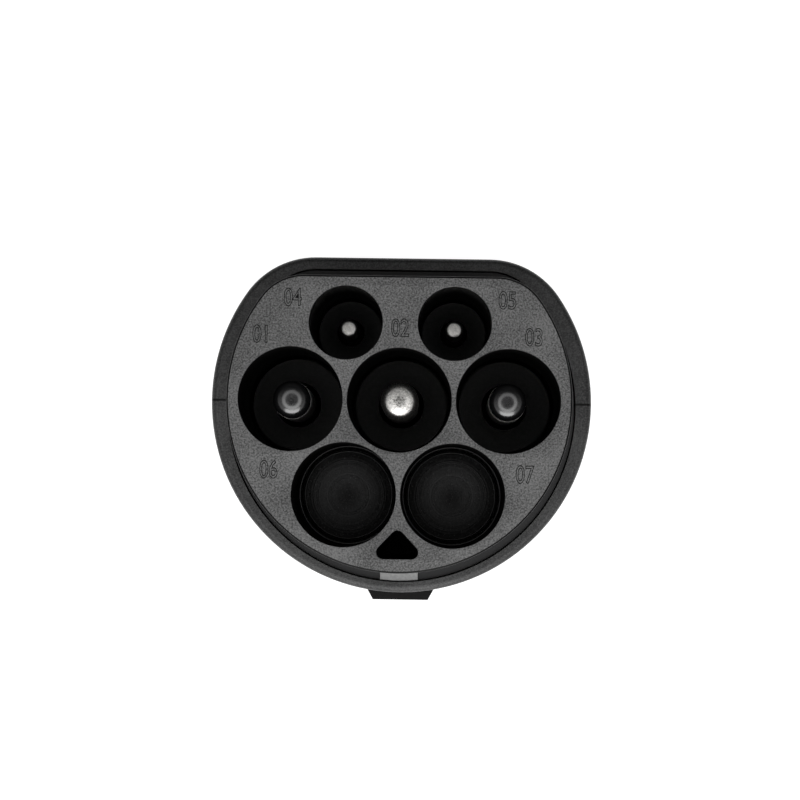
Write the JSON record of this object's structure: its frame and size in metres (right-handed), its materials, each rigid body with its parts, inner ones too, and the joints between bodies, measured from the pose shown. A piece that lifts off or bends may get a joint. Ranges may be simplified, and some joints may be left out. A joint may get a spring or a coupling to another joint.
{
  "type": "ev charging adapter",
  "caption": "D-shaped plug adapter that joins a charging gun to a vehicle inlet, with recessed pins in moulded wells.",
  "frame": {"origin": "on the earth contact's axis, in the plane of the charger end's rim", "axes": "+Z along the contacts towards the nose face, +Y towards the flat of the D section"},
  "size_m": [0.0644, 0.0581, 0.118],
  "materials": {
    "nose_plastic": "grained",
    "shell_plastic": "grained",
    "well_plastic": "smooth",
    "key_plastic": "smooth",
    "cap_plastic": "gloss",
    "silver_plate": "satin silver plate",
    "black_rubber": "matt",
    "screw_steel": "zinc plated",
    "board_laminate": "lacquered",
    "resistor_body": "lacquered"
  },
  "bodies": {
    "root": {"blank_plugs": "well_plastic", "carrier_screws": "screw_steel", "clamp_plate": "well_plastic", "clamp_screws": "screw_steel", "coding_board": "board_laminate", "coding_resistor": "resistor_body", "contact_carrier": "well_plastic", "contact_seals": "black_rubber", "detect_contact": "silver_plate", "earth_contact": "silver_plate", "inlet_housing": "shell_plastic", "inlet_insert": "well_plastic", "inlet_seal": "black_rubber", "line_contact": "silver_plate", "line_tip_cap": "cap_plastic", "locating_key": "key_plastic", "lower_shell": "shell_plastic", "neutral_contact": "silver_plate", "neutral_tip_cap": "cap_plastic", "nose_flange": "nose_plastic", "nose_gasket": "black_rubber", "nose_housing": "nose_plastic", "pilot_contact": "silver_plate", "seal_retainer": "well_plastic", "shell_screws": "screw_steel", "upper_shell": "shell_plastic"}
  },
  "joints": []
}
